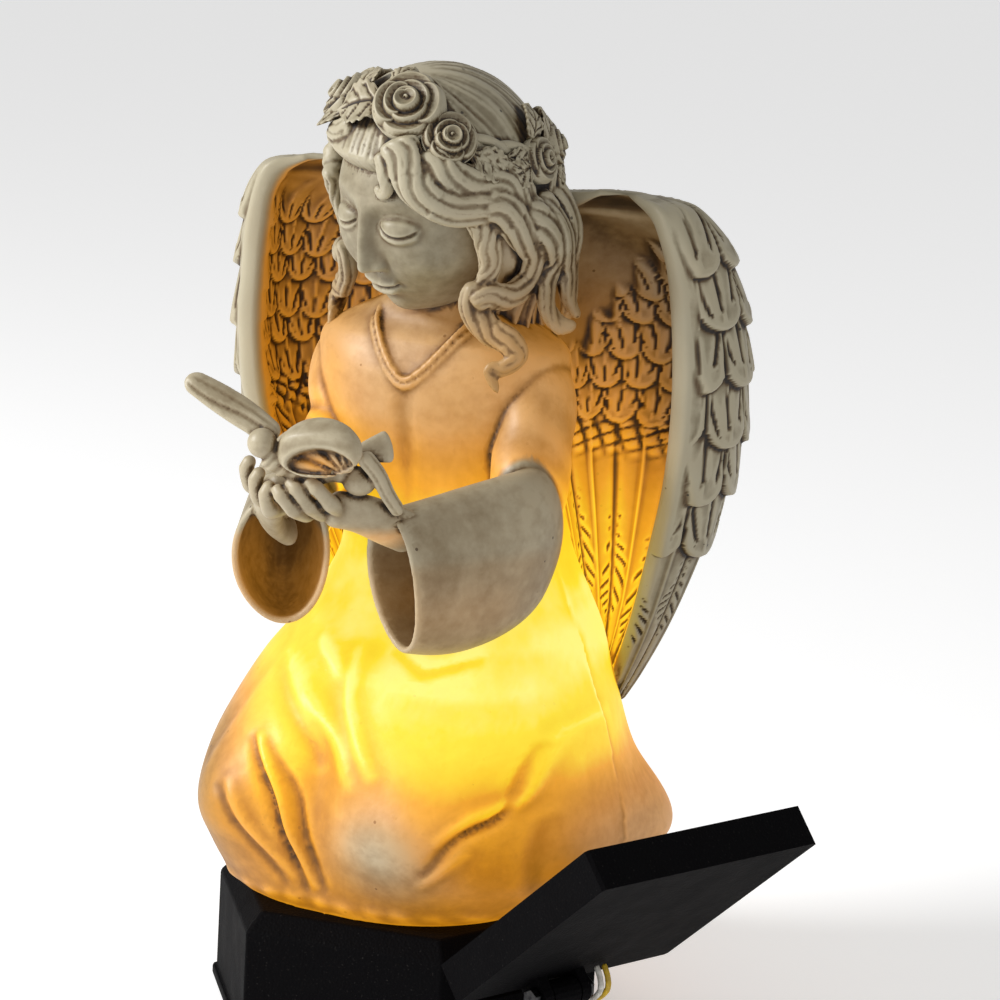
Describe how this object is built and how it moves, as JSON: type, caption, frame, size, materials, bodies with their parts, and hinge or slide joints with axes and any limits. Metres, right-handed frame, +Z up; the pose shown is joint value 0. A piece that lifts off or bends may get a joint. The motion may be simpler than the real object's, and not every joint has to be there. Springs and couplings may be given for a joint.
{
  "type": "solar garden angel statue",
  "caption": "Kneeling winged angel child with a flower crown and a butterfly in its cupped hands, a lit garden statue on a hexagonal lamp base with a tilting solar panel.",
  "frame": {"origin": "middle of the lamp base's underside, where it stands", "axes": "+Z up along the statue's height, -Y the front of the lamp base, +X the statue's left"},
  "size_m": [0.1877, 0.155, 0.2549],
  "materials": {
    "cast_resin": "antiqued stone-coloured cast resin with a brown wash in the hollows, thin enough to glow warm where the lamp inside lights it",
    "black_plastic": "black moulded plastic with a fine leathery grain",
    "pin_steel": "blackened steel",
    "yellow_lead": "yellow wire insulation",
    "white_lead": "white wire insulation",
    "solar_cell": "dark blue cell strips under clear glossy resin"
  },
  "bodies": {
    "statue": {"angel_figure": "cast_resin", "lamp_base": "black_plastic", "panel_bracket": "black_plastic", "hinge_pin": "pin_steel", "lead_yellow": "yellow_lead", "lead_white": "white_lead"},
    "panel": {"panel_frame": "black_plastic", "solar_cell": "solar_cell"}
  },
  "joints": [
    {"name": "panel_tilt", "type": "hinge", "parent": "statue", "child": "panel", "pos_m": [0.05621, -0.03938, 0.025], "axis": [-0.5, -0.866, 0], "range_deg": [-60, 24], "deforming": ["lead_yellow", "lead_white"]}
  ]
}
